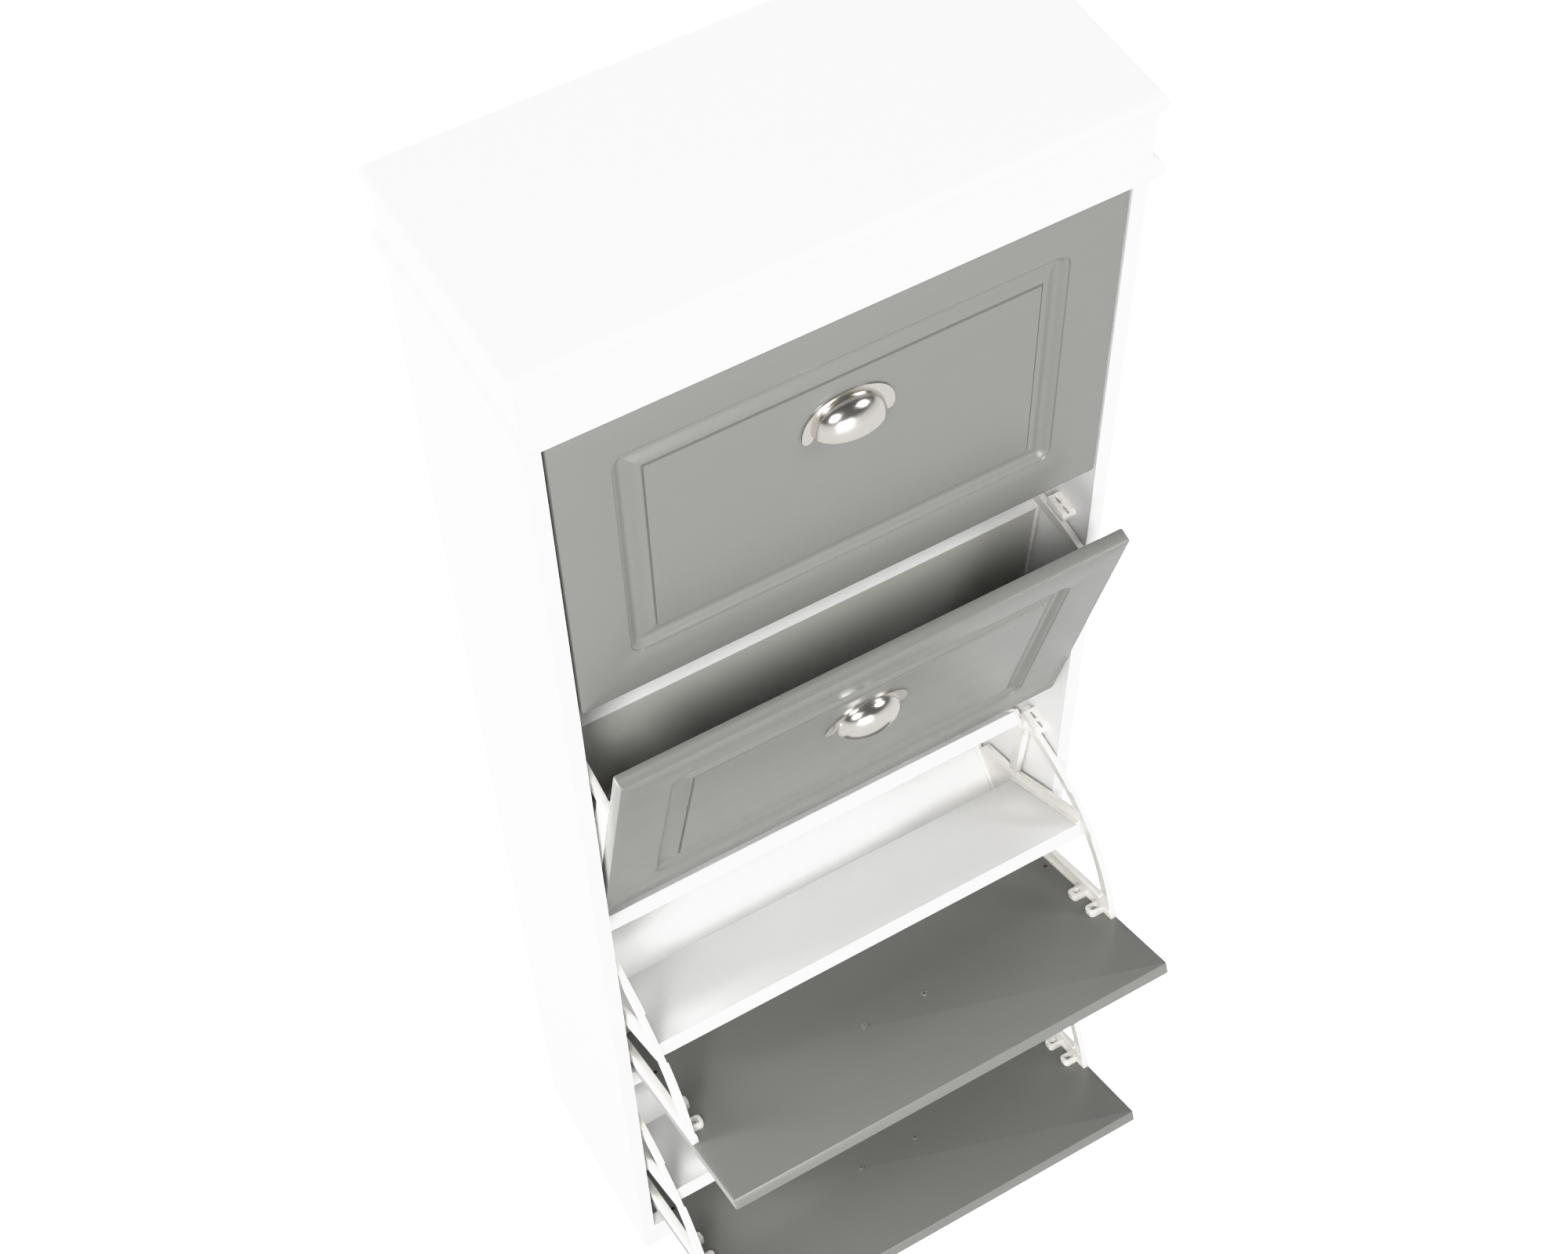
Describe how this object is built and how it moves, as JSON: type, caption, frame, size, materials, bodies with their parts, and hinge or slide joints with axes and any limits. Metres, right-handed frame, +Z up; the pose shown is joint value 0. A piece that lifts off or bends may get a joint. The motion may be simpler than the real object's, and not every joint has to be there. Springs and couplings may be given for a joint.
{
  "type": "shoe cabinet",
  "caption": "Tall narrow shoe cabinet: white carcass with a stepped crown and grey tilting flap fronts on fan-shaped swing frames, each with a cup handle and inner shelves.",
  "frame": {"origin": "floor level, at the middle of the plinth rail's underside, half-way across the width", "axes": "+Z up, -Y towards the front where the flaps open, +X to the right for someone who faces the front"},
  "size_m": [0.617, 0.5149, 1.746],
  "materials": {
    "white_board": "white satin melamine on particle board",
    "front_paint": "warm grey satin lacquer on fibre board",
    "back_board": "thin white faced hardboard",
    "frame_plastic": "off-white moulded plastic",
    "strip_plastic": "white plastic strip",
    "handle_metal": "satin nickel plate",
    "fastener_steel": "zinc plated steel",
    "dowel_wood": "plain beech"
  },
  "bodies": {
    "cabinet": {"side_panel_left": "white_board", "side_panel_right": "white_board", "top_panel": "white_board", "moulding_board": "white_board", "frieze_front": "white_board", "frieze_side_left": "white_board", "frieze_side_right": "white_board", "back_panel_upper": "back_board", "back_panel_lower": "back_board", "back_joint_strip": "strip_plastic", "back_nails": "fastener_steel", "bottom_panel": "white_board", "plinth_rail": "white_board", "stretcher_upper": "white_board", "stretcher_middle": "white_board", "pivot_pins_left": "fastener_steel", "pivot_pins_right": "fastener_steel", "stop_blocks": "frame_plastic", "dowels": "dowel_wood", "cam_locks": "fastener_steel", "cam_bolts": "fastener_steel"},
    "flap_1": {"front_1": "front_paint", "handle_1": "handle_metal", "handle_screws_1": "fastener_steel", "swing_frame_left_1": "frame_plastic", "swing_frame_right_1": "frame_plastic", "middle_shelf_1": "white_board", "rear_shelf_1": "white_board", "toe_shelf_1": "white_board", "frame_screws_1": "fastener_steel"},
    "flap_2": {"front_2": "front_paint", "handle_2": "handle_metal", "handle_screws_2": "fastener_steel", "swing_frame_left_2": "frame_plastic", "swing_frame_right_2": "frame_plastic", "middle_shelf_2": "white_board", "rear_shelf_2": "white_board", "toe_shelf_2": "white_board", "frame_screws_2": "fastener_steel"},
    "flap_3": {"front_3": "front_paint", "handle_3": "handle_metal", "handle_screws_3": "fastener_steel", "swing_frame_left_3": "frame_plastic", "swing_frame_right_3": "frame_plastic", "middle_shelf_3": "white_board", "rear_shelf_3": "white_board", "toe_shelf_3": "white_board", "frame_screws_3": "fastener_steel"},
    "flap_4": {"front_4": "front_paint", "handle_4": "handle_metal", "handle_screws_4": "fastener_steel", "swing_frame_left_4": "frame_plastic", "swing_frame_right_4": "frame_plastic", "middle_shelf_4": "white_board", "rear_shelf_4": "white_board", "toe_shelf_4": "white_board", "frame_screws_4": "fastener_steel"}
  },
  "joints": [
    {"name": "flap_1_hinge", "type": "hinge", "parent": "cabinet", "child": "flap_1", "pos_m": [0, 0.044, 1.3445], "axis": [1, 0, 0], "range_deg": [0, 67]},
    {"name": "flap_2_hinge", "type": "hinge", "parent": "cabinet", "child": "flap_2", "pos_m": [0, 0.044, 0.947], "axis": [1, 0, 0], "range_deg": [-13.6, 53.4]},
    {"name": "flap_3_hinge", "type": "hinge", "parent": "cabinet", "child": "flap_3", "pos_m": [0, 0.044, 0.5495], "axis": [1, 0, 0], "range_deg": [-67, 0]},
    {"name": "flap_4_hinge", "type": "hinge", "parent": "cabinet", "child": "flap_4", "pos_m": [0, 0.044, 0.152], "axis": [1, 0, 0], "range_deg": [-67, 0]}
  ]
}
